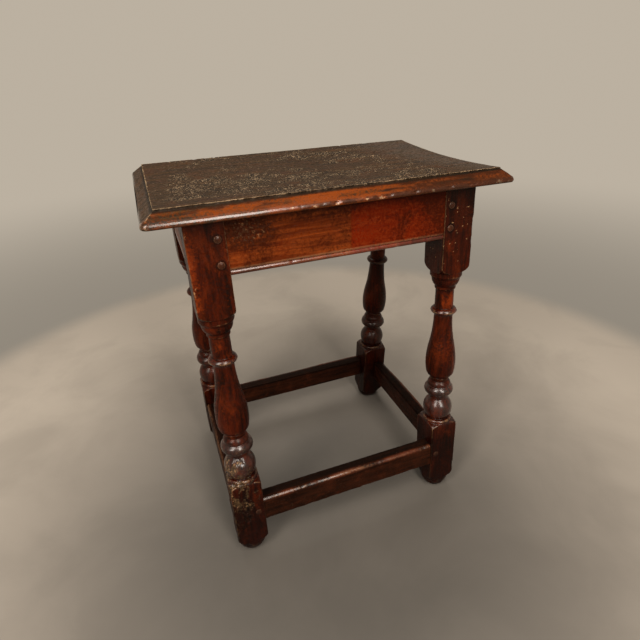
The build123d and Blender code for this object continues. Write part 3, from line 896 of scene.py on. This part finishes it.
def paint_rail(points, up):
    """Painted shade under the board, and dirt in clouds. Right of its middle the front rail turns abruptly to
    clear red wax, which darkens to the right, and it has one dark crusted patch at its left end, with pale
    specks painted in it as glints."""
    x, y, z = np.moveaxis(points, -1, 0)
    front = y < FRONT_LIMIT
    cloud = ramp(-0.4, 0.8, noise(points, (26.0, 26.0, 20.0), 301, 4))
    patch = ramp(-0.4, 0.8, noise(points, (16.0, 16.0, 40.0), 311, 3))
    crust = swell(x, *DARK_PATCH[0]) * swell(z, *DARK_PATCH[1]) * front
    red = ramp(*RED_START, x) * 0.8 + 0.25 * patch * (x < RED_START[0] + 1)
    bright = sum(swell(x, *place) for place in BRIGHT_PLACES) * front
    # Pale specks painted as glints in the dark patch.
    painted_glints = 1.3 * crust * ramp(0.4, 0.7, noise(points, 2.2, 321))
    # Painted shade along the top, under the board, and dirt in clouds.
    dirt_and_shade = 0.7 * ramp(RAIL_HEIGHT - 30, RAIL_HEIGHT, up) + 0.8 * cloud * (1 - 0.5 * bright)
    dirt_and_shade = dirt_and_shade + 0.8 * front * ramp(*DARKER_FROM_TO, x) + 1.4 * crust
    return {
        "dirt_and_shade": dirt_and_shade * (1 - painted_glints),
        "warm": np.where(front, red, 0.5 * patch),
        "gloss": 0.75 + 0.25 * (1 - ramp(2 * BEAD_RADIUS, 2 * BEAD_RADIUS + 2, up)),
        "crust": 0.7 * crust,
        "bare_and_glints": painted_glints,
    }


def finish_rail(name, placed, up, material):
    """Cut the rail off under the board, paint it and finish it."""
    placed[..., 2] = np.minimum(placed[..., 2], UNDER_BOARD)
    finish_tube(name + "_frieze_rail", placed, "rail_oak", material, paint_rail(placed, up))


for frame_name, frame_side in FRAMES.items():
    swept = sweep(rail_section(), RAIL_ROWS)
    local = wear_bar(in_long_frame(swept, RAIL_INSET, LEG_RUN - RAIL_HEIGHT), 400 + frame_side, RAIL_WEAR)
    finish_rail(frame_name, stand(level_ends(local, 12.0), frame_side), swept[..., 2], RAIL_OAK)

for side_name, side in SIDES.items():
    swept = sweep(rail_section(), RAIL_ROWS * 2 // 3)
    placed = between_frames(swept, side, RAIL_INSET, UNDER_BOARD - RAIL_HEIGHT)
    finish_rail(side_name, wear_bar(placed, 420 + side, RAIL_WEAR), swept[..., 2], END_RAIL_OAK)

# %% [markdown]
# Feet rest on the stretchers, and wear their upper outer edge into long hollows.

# %% Stretchers
STRETCHER_INSET = 2.0
STRETCHER_RISE = 60.0
STRETCHER_ROWS = 196
STRETCHER_WEAR = 0.9
STRETCHER_REACH = 146


def stretcher_worn(swept, seed):
    """Section after wear: the upper outer edge sinks in long hollows, and the foot gets ragged."""
    t, depth, up = np.moveaxis(swept, -1, 0)
    spot = np.stack([t * STRETCHER_REACH, 0 * t, 0 * t + seed], axis=-1)
    upper = ramp(STRETCHER_HEIGHT - 14, STRETCHER_HEIGHT, up) * (1 - ramp(0, 16, depth))
    hollow = 0.8 + 0.9 * noise(spot, 60.0, seed) + 0.12 * noise(spot, 9.0, seed + 4)
    lower = (1 - ramp(0, 8, up)) * (1 - ramp(4, 18, depth))
    ragged = 0.5 + 0.7 * noise(spot, 12.0, seed + 8, 3)
    worn = swept.copy()
    worn[..., 1] = depth + np.maximum(upper * hollow * 1.1, 0) * (1 - ramp(2, 8, depth))
    worn[..., 2] = up - np.maximum(upper * hollow * 1.6, 0) + np.maximum(lower * ragged, 0)
    return worn


def paint_stretcher(swept, points, seed):
    """The upper outer edge is rubbed by heels, in patches. Dirt lies on top and in clouds."""
    t, depth, up = np.moveaxis(swept, -1, 0)
    spot = np.stack([t * STRETCHER_REACH, depth, up + seed], axis=-1)
    band = ramp(STRETCHER_HEIGHT - 9, STRETCHER_HEIGHT - 2, up) * (1 - ramp(4, 12, depth))
    rubbed = band * (0.5 + 0.8 * noise(spot, 22.0, seed))
    cloud = ramp(-0.2, 0.8, noise(points, 24.0, seed + 30, 3))
    top = ramp(STRETCHER_HEIGHT - 6, STRETCHER_HEIGHT - 3, up) * ramp(4, 10, depth)
    return {
        "dirt_and_shade": 0.5 * cloud * (1 - band) + 1.2 * top,
        "warm": rubbed * (1 - top),
        "gloss": 0.75 + 0.13 * band - 0.5 * top,
        "crust": 0.2 * cloud,
    }


for frame_name, frame_side in FRAMES.items():
    seed = 500 + 9 * frame_side
    swept = stretcher_worn(sweep(stretcher_section(), STRETCHER_ROWS), seed)
    local = wear_bar(in_long_frame(swept, STRETCHER_INSET, STRETCHER_RISE), seed, STRETCHER_WEAR)
    placed = stand(local, frame_side)
    paint = paint_stretcher(swept, placed, seed)
    finish_tube(f"{frame_name}_stretcher", placed, "stretcher_oak", STRETCHER_OAK, paint)

for side_name, side in SIDES.items():
    seed = 540 + 9 * side
    swept = stretcher_worn(sweep(stretcher_section(), STRETCHER_ROWS), seed)
    placed = between_frames(swept, side, STRETCHER_INSET, STRETCHER_RISE)
    placed = wear_bar(placed, seed, STRETCHER_WEAR)
    paint = paint_stretcher(swept, placed, seed)
    if side < 0:
        paint.update({"warm": 0, "gloss": paint["gloss"] - 0.2})
    finish_tube(f"{side_name}_stretcher", placed, "stretcher_oak", END_STRETCHER_OAK, paint)

# %% [markdown]
# ## Board
# The board is one plank with a thumb moulding on four edges and a hollow worn along it. Its face is a grid,
# and the moulding is a ring of points that starts on the grid's border and follows the edge's profile down to
# the underside. Both share the border's points, so there is no seam. In each corner the square ring is bent
# into a rounder one, as wear does.

# %% Board sizes
MOULD_WIDTH = 16.0
MOULD_STEP = 2.0
NOSING_HEIGHT = 2.5
NOSING_TUCK = 1.0
NOSING_RADIUS = 4.5
NOSING_TURN = np.radians(50)
DISH = 5.5
CORNER_ROUND = 9.0
FIELD_X = HALF_LENGTH - MOULD_WIDTH
FIELD_Y = HALF_WIDTH - MOULD_WIDTH
FIELD_STEP = 1.5


def hollow(y):
    """Depth of the worn hollow: a shallow arc across the field."""
    return DISH * np.clip(1 - (y / FIELD_Y) ** 2, 0, 1)


def edge_profile():
    """Moulding from the step to the underside, as (distance in from the nosing, height)."""
    top = HEIGHT - UNDER_BOARD
    turn = np.linspace(NOSING_TURN, 0, 9)
    nose_in = NOSING_RADIUS * (1 - np.cos(turn))
    nose = np.stack([nose_in, NOSING_HEIGHT + NOSING_RADIUS * np.sin(turn)], axis=1)
    step = np.array([MOULD_WIDTH, top - MOULD_STEP])
    chord = nose[0] - step
    lean = np.arctan2(-chord[1], -chord[0])
    bow = np.hypot(*chord) / 2 * np.tan((np.pi / 2 - NOSING_TURN - lean) / 2)
    thumb = step + (bow_between((0, 0), (-chord[0], chord[1]), bow, 14) * [-1, 1])
    part = np.linspace(0, 1, 4)[1:]
    tuck = np.stack([NOSING_TUCK * part**2, NOSING_HEIGHT * (1 - part)], axis=1)
    riser = np.array([[MOULD_WIDTH, top - 0.5 * MOULD_STEP], [MOULD_WIDTH - 0.1, top - MOULD_STEP]])
    return np.concatenate([riser, thumb, nose[1:], tuck])


PROFILE = edge_profile()
print("points down the moulding:", len(PROFILE))


# %% Board shape
def border_order(index):
    """A grid's border once round, starting at its first corner."""
    return np.concatenate([index[0, :-1], index[:-1, -1], index[-1, :0:-1], index[:0:-1, 0]])


def round_corners(points):
    """Near each corner, move a point from the square ring to the circle of the same distance from the
    corner's centre."""
    points = points.copy()
    centre = np.array([HALF_LENGTH - CORNER_ROUND, HALF_WIDTH - CORNER_ROUND])
    past = np.abs(points[..., :2]) - centre
    both = (past > 0).all(axis=-1)
    size = past.max(axis=-1)
    spread = np.maximum(np.hypot(past[..., 0], past[..., 1]), 1e-9)
    moved = centre + past * (size / spread)[..., None]
    signs = np.sign(points[..., :2])
    points[..., :2] = np.where(both[..., None], moved * signs, points[..., :2])
    return points


def board_field():
    """Grid of the worn face, before its relief."""
    columns = int(2 * FIELD_X / FIELD_STEP)
    rows = int(2 * FIELD_Y / FIELD_STEP)
    x, y = np.meshgrid(np.linspace(-FIELD_X, FIELD_X, columns), np.linspace(-FIELD_Y, FIELD_Y, rows))
    return np.stack([x, y, HEIGHT - hollow(y)], axis=-1)


def board_rings(edge):
    """A ring for each point of the profile: the field's edge moved out to it."""
    on_x = np.isclose(np.abs(edge[:, 0]), FIELD_X)
    on_y = np.isclose(np.abs(edge[:, 1]), FIELD_Y)
    rings = []
    for inset, up in PROFILE:
        ring = edge.copy()
        ring[:, 0] *= np.where(on_x, HALF_LENGTH - inset, FIELD_X + (MOULD_WIDTH - inset)) / FIELD_X
        ring[:, 1] *= np.where(on_y, HALF_WIDTH - inset, FIELD_Y + (MOULD_WIDTH - inset)) / FIELD_Y
        ring[:, 2] = UNDER_BOARD + up - hollow(edge[:, 1]) * (edge[:, 2] < HEIGHT - 1e-6)
        rings.append(ring)
    return np.array(rings)


# %% [markdown]
# The face has slow waves and nicks. The moulding is chipped most along the front, where people sit down.

# %% Board wear
NOSING_BITES = (84.0, 162.0, -20.0)


def field_relief(points):
    """Relief of the worn face: slow waves, crawled finish in small islands, scattered deep nicks."""
    x, y, _ = np.moveaxis(points, -1, 0)
    waves = 0.2 * noise(points, (120.0, 60.0, 60.0), 700)
    smooth_end = 1 - 0.75 * ramp(120, 200, x) * ramp(-60, 60, y)
    smooth_end = smooth_end * (1 - 0.6 * ramp(-150, -215, x))
    crawled = 0.1 * noise(points, (4.0, 6.5, 4.0), 710, 3) * smooth_end
    nicks = 0.7 * ramp(0.72, 1.05, noise(points, (9.0, 3.5, 3.5), 720)) * smooth_end
    return waves + crawled - nicks - 0.4


def wear_rings(rings):
    """Chips: the step is ragged, the nosing is nicked, and everything waves a little."""
    down = np.linspace(0, 1, len(rings))[:, None]
    flat = rings * [1, 1, 0.4]
    x, y, _ = np.moveaxis(rings, -1, 0)
    outward = np.stack([x / HALF_LENGTH, y / HALF_WIDTH], axis=-1)
    nearly = np.abs(outward).max(axis=-1, keepdims=True) - 0.02
    outward = np.where(np.abs(outward) >= nearly, np.sign(outward), 0)
    front = (y < -FIELD_Y + 1).astype(float)
    step = (1 - ramp(0.02, 0.12, down)) * (0.5 + 0.8 * front)
    ragged = step * (noise(flat, 7.0, 730, 3) + 0.6 * noise(flat, 26.0, 734))
    nose = swell(down, 0.76, 0.12)
    chipped = 0.3 + 0.9 * front * ramp(-90, -40, x)
    chips = nose * chipped * 0.9 * ramp(0.25, 1.0, noise(flat, (12.0, 9.0, 9.0), 740, 2))
    for place in NOSING_BITES:
        chips = chips + 1.6 * front * nose * swell(x, place, 4.0)
    moved = rings.copy()
    moved[..., :2] += outward * (ragged - chips)[..., None]
    moved[..., 2] += 0.25 * noise(flat, 30.0, 750) - 0.5 * step * ramp(0.2, 0.9, noise(flat, 8.0, 752))
    moved[..., 2] = np.maximum(moved[..., 2], UNDER_BOARD)
    moved[-1, :, 2] = UNDER_BOARD
    return moved


def make_board():
    """Board mesh and its points: field, moulding ring and underside."""
    field = board_field()
    index = np.arange(field[..., 0].size).reshape(field.shape[:2])
    border = border_order(index)
    rings = wear_rings(board_rings(field.reshape(-1, 3)[border]))
    field[..., 2] += field_relief(field)
    edge = field.reshape(-1, 3)[border]
    rings[0, :, 2] += (edge[:, 2] - (HEIGHT - hollow(edge[:, 1]))) * 0.5
    points = np.concatenate([round_corners(grid).reshape(-1, 3) for grid in (field, rings)])
    faces = np.stack([index[:-1, :-1], index[:-1, 1:], index[1:, 1:], index[1:, :-1]], axis=-1)
    ring_index = index.size + np.arange(rings[..., 0].size).reshape(rings.shape[:2])
    ring_index = np.concatenate([border[None], ring_index])
    ahead = np.roll(ring_index, -1, axis=1)
    ring_faces = np.stack([ring_index[1:], ahead[1:], ahead[:-1], ring_index[:-1]], axis=-1)
    quads = np.concatenate([faces.reshape(-1, 4), ring_faces.reshape(-1, 4)])
    return add_mesh("board_wood", points, quads, [ring_index[-1, ::-1]]), points


# %% Board paint
def paint_board(points):
    """The face is crusted but for its dull right end. The front moulding is warm and clear, strongest in the
    middle. The step's edge is bare and its riser is painted dark as shade, both by their drop under the face.
    The underside is painted dark as shade. The nosing has its gloss."""
    x, y, z = points.T
    inset = np.minimum(HALF_LENGTH - np.abs(x), HALF_WIDTH - np.abs(y))
    drop = HEIGHT - hollow(y) - z
    face = inset > MOULD_WIDTH - 0.3
    front = ramp(-FIELD_Y - 0.5, -FIELD_Y - 3.5, y)
    nosing = swell(inset, 0, 2.5) * (z > UNDER_BOARD + 1)
    nicked = nosing * front * ramp(-110, -60, x)
    nicks = ramp(0.1, 0.8, noise(points, (9.0, 5.0, 5.0), 780, 3))

    cloud = ramp(-0.6, 0.6, noise(points, (60.0, 40.0, 30.0), 760, 3))
    # The riser under the step is painted dark as its shade, and so is the underside.
    step = ramp(MOULD_WIDTH - 4.2, MOULD_WIDTH - 1.8, inset)
    dirt_and_shade = 1.2 * step * ramp(0.4, 0.9, drop) + 0.25 * cloud * face + 0.8 * (z < UNDER_BOARD + 0.5)
    grimy = 0.9 * ramp(-0.1, 0.9, noise(points, (26.0, 6.0, 6.0), 778, 3))
    dirt_and_shade = dirt_and_shade + front * (0.75 * ramp(20, 120, x) + grimy) + 0.8 * nicked * (1 - nicks)

    patch = 0.8 + 0.4 * noise(points, (40.0, 6.0, 6.0), 770)
    strength = 0.45 + 0.55 * ramp(-210, -60, x)
    smooth_end = ramp(110, 200, x + 0.3 * y)
    gloss = np.where(face, 0.2 + 0.4 * smooth_end, 0.5 + 0.26 * front) + 0.5 * (nosing - 0.7 * nicked)

    # A patch of thicker crust. Its island tops are painted pale, partly as glints.
    pale_spot = swell(np.hypot((x + 120) / 2.2, y + 25), 0, 42)
    pale_spot = pale_spot * ramp(-0.7, 0.3, noise(points, (26.0, 12.0, 9.0), 765, 3))
    tuft = 0.45 + 0.95 * ramp(-0.4, 0.6, noise(points, (12.0, 9.0, 8.0), 768, 3))
    crust = face * (0.1 + 0.6 * cloud + 0.7 * pale_spot) * tuft * (1 - 0.9 * smooth_end)
    crust = crust * (1 - 0.6 * ramp(-185, -225, x))
    ragged = 0.85 + 0.4 * noise(points, (7.0, 7.0, 3.0), 775)
    # The front nosing's nicks get pale spots: partly bare chips, partly painted pieces of its highlight.
    bare_and_glints = swell(inset, MOULD_WIDTH + 0.4, 1.1) * ragged * (1 - ramp(0.3, 0.9, drop)) + 0.6 * nicked * nicks
    return {"dirt_and_shade": dirt_and_shade, "warm": front * strength * patch, "gloss": gloss, "crust": crust, "bare_and_glints": bare_and_glints}


board, board_points = make_board()
finish_piece(board, "top_board", "board_oak", BOARD_OAK, **paint_board(board_points))

# %% [markdown]
# ## Pegs
# A peg's head is a low dome that stands a little proud of the leg, because the oak round it has shrunk. Each
# is a small turned cap: rings that shrink towards the crown, with a random wobble so that no two are alike.

# %% Pegs
PEG_DEPTH = 6.0
PEG_COLUMNS = 28
BOARD_PEG_RADIUS = 4.0
BOARD_PEG_SPREAD = 250.0


def peg_head(radius, proud, seed):
    """Dome along +z with its shank below: (radius, height) rings from the shank's foot to the crown."""
    part = np.linspace(0.12, 1, 8)[::-1]
    dome = np.stack([radius * part, proud * (1 - part**2)], axis=1)
    rings = np.concatenate([[[radius * 0.98, -PEG_DEPTH], [radius, -0.4]], dome])
    angle = np.linspace(0, 2 * np.pi, PEG_COLUMNS, endpoint=False)
    turn = np.stack([np.cos(angle), np.sin(angle)], axis=-1)
    flats = 1 - 0.035 * np.cos(8 * angle + seed)
    points = np.zeros((len(rings), PEG_COLUMNS, 3))
    points[..., :2] = rings[:, :1, None] * turn * flats[:, None]
    wobble = 0.12 * noise(points * [1, 1, 0] + seed, 2.5, seed)
    points[..., 2] = rings[:, 1:] + wobble * (rings[:, 1:] > -1)
    return points


def add_pegs(node, heads, slot, **paint):
    """One mesh for all the pegs of a node: heads is a list of point grids, already in place."""
    quads, caps = tube_faces(*heads[0].shape[:2])
    size = heads[0][..., 0].size
    all_quads = np.concatenate([quads + index * size for index in range(len(heads))])
    all_caps = [cap + index * size for index in range(len(heads)) for cap in caps]
    points = np.concatenate([head.reshape(-1, 3) for head in heads])
    piece = add_mesh(node + "_wood", points, all_quads, all_caps)
    finish_piece(piece, node, slot, PEG_OAK, **paint)


def frame_heads(heights, frame_side, seed):
    """Heads on the leg faces of the front or rear frame."""
    heads = []
    for side in SIDES.values():
        for z in heights:
            number = seed + len(heads)
            head = peg_head(PEG_RADIUS, 1.0 + 0.3 * np.sin(number), number)
            x, y, up = np.moveaxis(head, -1, 0)
            middle = side * (RAIL_SPAN / 2 + PEG_FROM_SHOULDER)
            heads.append(stand(np.stack([middle + x, -HALF_SQUARE - up, z + y], axis=-1), frame_side))
    return heads


def end_heads(heights, side, seed):
    """Heads on the outer faces of the legs at one end."""
    heads = []
    for frame_side in FRAMES.values():
        for z in heights:
            number = seed + len(heads)
            head = peg_head(PEG_RADIUS, 0.9 + 0.3 * np.sin(number), number)
            x, y, up = np.moveaxis(head, -1, 0)
            middle = frame_side * (inner_face_y(z) + PEG_FROM_SHOULDER)
            heads.append(np.stack([side * (FRAME_LENGTH / 2 + up), middle + x, z + y], axis=-1))
    return heads


def board_heads():
    """Flush pegs over the long frieze rails."""
    y = FRAME_WIDTH / 2 - UNDER_BOARD * np.tan(LEAN) - RAIL_INSET - RAIL_THICKNESS / 2
    top = HEIGHT - hollow(y) - 0.6
    heads = []
    for side in SIDES.values():
        for frame_side in FRAMES.values():
            head = peg_head(BOARD_PEG_RADIUS, 0.15, 900 + len(heads))
            heads.append(head + [side * BOARD_PEG_SPREAD / 2, frame_side * y, top])
    return heads


long_heights = [LEG_RUN - drop for drop in PEG_DROPS]
end_heights = [UNDER_BOARD - drop for drop in PEG_DROPS]
low_heights = [STRETCHER_RISE + STRETCHER_HEIGHT / 2]
RUBBED = {"gloss": 0.82, "bare_and_glints": 0.25, "dirt_and_shade": 0.15}
GRIMY = {"gloss": 0.3, "dirt_and_shade": 0.8}
for name, frame_side in FRAMES.items():
    add_pegs(f"{name}_frieze_rail_pegs", frame_heads(long_heights, frame_side, 800), "peg_oak", **RUBBED)
    add_pegs(f"{name}_stretcher_pegs", frame_heads(low_heights, frame_side, 820), "peg_oak", **GRIMY)
for name, side in SIDES.items():
    add_pegs(f"{name}_frieze_rail_pegs", end_heads(end_heights, side, 840), "peg_oak", **RUBBED)
    add_pegs(f"{name}_stretcher_pegs", end_heads(low_heights, side, 860), "peg_oak", **GRIMY)
add_pegs("board_pegs", board_heads(), "board_oak", **GRIMY)

# %% [markdown]
# ## Floor and light
# Two tall lamps, each about half a metre wide, stand in front. They draw the pair of streaks on every turned
# ball, and a long one on the nosing. A wide lamp behind the stool lights the board. A shadow is painted on
# the floor close to the stool. A metre away the floor turns into a glowing backdrop, dark at its foot as
# painted shade, and paler with the distance. Rays that only carry light don't see it: it shows in the
# wood's gloss, but adds no light of its own.

# %% Floor
HALF_FLOOR = 12.0
FLOOR_ROUGHNESS = 0.6
FLOOR_COLOUR = (0.42, 0.362, 0.299)
FLOOR_CLOUD_MM = (220.0, 220.0, 220.0)
# A shadow painted on the floor round the stool: its darkest share, its middle, and where its fade starts and
# ends.
PAINTED_SHADOW_TONE = 0.2
PAINTED_SHADOW_CENTRE = (-0.05, -0.18, 0.0)
PAINTED_SHADOW_START, PAINTED_SHADOW_END = 0.14, 0.94
BOUNCE_TONE = 0.3
BACKDROP_COLOUR = (1.0, 0.875, 0.71)
BACKDROP_START, BACKDROP_END = 0.86, 0.98
BACKDROP_FADE = 2.7
# The backdrop glows dimmer at its foot as painted shade, and brighter further away.
BACKDROP_SHADED_FOOT, BACKDROP_STRENGTH = 0.28, 0.5


def seen_rays(tree):
    """1 for the rays that show the background, straight or in a gloss, and 0 for those that only carry
    light."""
    path = add_node(tree, "LightPath").outputs
    direct = calculate(tree, "ADD", path["Is Camera Ray"], path["Is Transmission Ray"])
    return calculate(tree, "MINIMUM", calculate(tree, "ADD", direct, path["Is Glossy Ray"]), 1.0)


def floor_tone(tree, place, seen):
    """Share of the floor's colour: a shadow painted near the stool, cloudy, and less for the light it throws
    back.
    """
    near = add_node(tree, "VectorMath", {0: place, 1: PAINTED_SHADOW_CENTRE}, operation="DISTANCE").outputs["Value"]
    clouds = stretched_noise(tree, place, FLOOR_CLOUD_MM, 5.0, 0.6, 0.4)
    # Painted shadow: darkest near its middle, and full floor colour a little under a metre away.
    tone = remap(tree, near, PAINTED_SHADOW_START, PAINTED_SHADOW_END, PAINTED_SHADOW_TONE)
    tone = multiply(tree, tone, remap(tree, clouds, 0.3, 0.7, 0.9, 1.1))
    return multiply(tree, tone, remap(tree, seen, 0.0, 1.0, BOUNCE_TONE, 1.0))


def floor_material():
    """Matt floor, mixed into the backdrop's glow by the distance from the origin."""
    material = bpy.data.materials.new("floor")
    material.use_nodes = True
    tree = material.node_tree
    shader = tree.nodes["Principled BSDF"]
    shader.inputs["Roughness"].default_value = FLOOR_ROUGHNESS
    place = add_node(tree, "TexCoord").outputs["Object"]
    seen = seen_rays(tree)
    shade = mix_colours(tree, floor_tone(tree, place, seen), colour(0, 0, 0), colour(*FLOOR_COLOUR))
    tree.links.new(shade, shader.inputs["Base Color"])
    distance = add_node(tree, "VectorMath", {0: place}, operation="LENGTH").outputs["Value"]
    strength = remap(tree, distance, BACKDROP_START, BACKDROP_FADE, BACKDROP_SHADED_FOOT, BACKDROP_STRENGTH)
    glow = add_node(tree, "Emission", {"Color": colour(*BACKDROP_COLOUR), "Strength": strength})
    backdrop = multiply(tree, seen, remap(tree, distance, BACKDROP_START, BACKDROP_END))
    mixed = add_node(tree, "MixShader", {0: backdrop, 1: shader.outputs[0], 2: glow.outputs[0]})
    tree.links.new(mixed.outputs[0], tree.nodes["Material Output"].inputs["Surface"])
    return material


mesh = bpy.data.meshes.new("floor")
square = [(-1, -1), (1, -1), (1, 1), (-1, 1)]
mesh.from_pydata([(HALF_FLOOR * x, HALF_FLOOR * y, 0) for x, y in square], [], [(0, 1, 2, 3)])
mesh.materials.append(floor_material())
floor = add_object("floor", mesh)
print("metres across the floor:", 2 * HALF_FLOOR)

# %% Light
# Place, width and height in metres, and power in watts.
LAMPS = {
    "left_lamp": ((-1.18, -0.92, 1.65), (0.50, 1.9), 40.0),
    "front_lamp": ((0.10, -1.52, 1.65), (0.44, 1.9), 48.0),
    "back_lamp": ((0.15, 1.00, 2.3), (1.60, 1.20), 16.0),
}
LAMP_TARGET = (0, 0, 0.3)
LAMP_COLOUR = (1.0, 0.95, 0.88)
WORLD_STRENGTH = 0.05


def aim(place, target):
    """Matrix of a lamp at place that shines at target: its -Z axis points there, its X axis stays level."""
    back = np.array(place, float) - np.array(target)
    back /= np.linalg.norm(back)
    level = np.cross([0, 0, 1], back)
    level /= np.linalg.norm(level)
    return matrix_of(level, np.cross(back, level), back, place)


def add_lamp(name, place, size, power):
    """Area lamp of the given width and height."""
    data = bpy.data.lights.new(name, "AREA")
    data.shape = "RECTANGLE"
    data.size, data.size_y = size
    data.energy = power
    data.color = LAMP_COLOUR
    add_object(name, data).matrix_world = aim(place, LAMP_TARGET)


def add_world():
    """Dim even light, which shows as the backdrop to the rays that see it."""
    world = bpy.data.worlds.new("studio")
    world.use_nodes = True
    tree = world.node_tree
    background = tree.nodes["Background"]
    background.inputs["Color"].default_value = colour(*BACKDROP_COLOUR)
    strength = remap(tree, seen_rays(tree), 0.0, 1.0, WORLD_STRENGTH, BACKDROP_STRENGTH)
    tree.links.new(strength, background.inputs["Strength"])
    bpy.context.scene.world = world


for name, (place, size, power) in LAMPS.items():
    add_lamp(name, place, size, power)
add_world()
bpy.context.scene.view_settings.view_transform = "Standard"
print("lamps:", *LAMPS)
